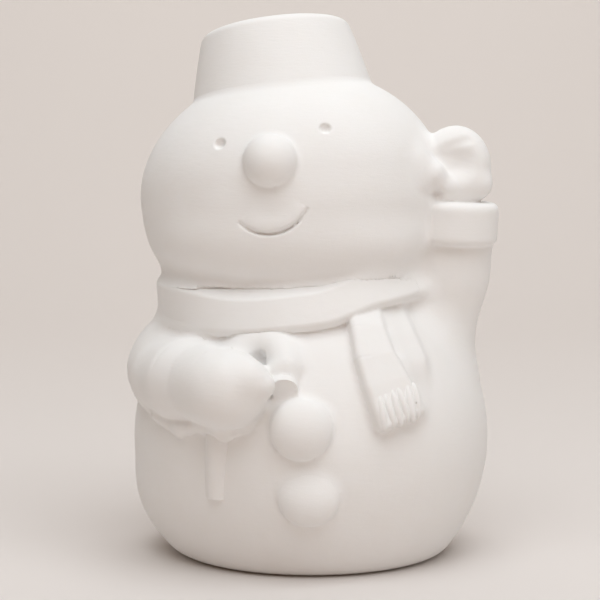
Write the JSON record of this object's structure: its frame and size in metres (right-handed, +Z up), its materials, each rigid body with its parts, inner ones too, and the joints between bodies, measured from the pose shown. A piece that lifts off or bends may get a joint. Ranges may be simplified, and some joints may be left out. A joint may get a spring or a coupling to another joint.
{
  "type": "snowman figure",
  "caption": "Unglazed white ceramic snowman figure with tapered hat, scarf, raised waving hand and a candy cane held in the other, standing on a flat foot.",
  "frame": {"origin": "centre of the figure's bounding box on the plane it stands on", "axes": "+Z up through the hat, the face and buttons towards -Y, the raised hand on +X"},
  "size_m": [0.113, 0.1204, 0.1655],
  "materials": {
    "body_shell_bisque": "unglazed, matt",
    "head_shell_bisque": "unglazed, matt",
    "hat_shell_bisque": "unglazed, matt",
    "nose_bisque": "unglazed, matt",
    "upper_button_bisque": "unglazed, matt",
    "lower_button_bisque": "unglazed, matt",
    "scarf_collar_bisque": "unglazed, matt",
    "scarf_tail_bisque": "unglazed, matt",
    "scarf_tail_under_bisque": "unglazed, matt",
    "right_arm_bisque": "unglazed, matt",
    "right_mitten_bisque": "unglazed, matt",
    "candy_cane_bisque": "unglazed, matt",
    "left_arm_bisque": "unglazed, matt",
    "left_cuff_bisque": "unglazed, matt",
    "left_mitten_bisque": "unglazed, matt"
  },
  "bodies": {
    "root": {"body_shell": "body_shell_bisque", "head_shell": "head_shell_bisque", "hat_shell": "hat_shell_bisque", "nose": "nose_bisque", "upper_button": "upper_button_bisque", "lower_button": "lower_button_bisque", "scarf_collar": "scarf_collar_bisque", "scarf_tail": "scarf_tail_bisque", "scarf_tail_under": "scarf_tail_under_bisque", "right_arm": "right_arm_bisque", "right_mitten": "right_mitten_bisque", "candy_cane": "candy_cane_bisque", "left_arm": "left_arm_bisque", "left_cuff": "left_cuff_bisque", "left_mitten": "left_mitten_bisque"}
  },
  "joints": []
}
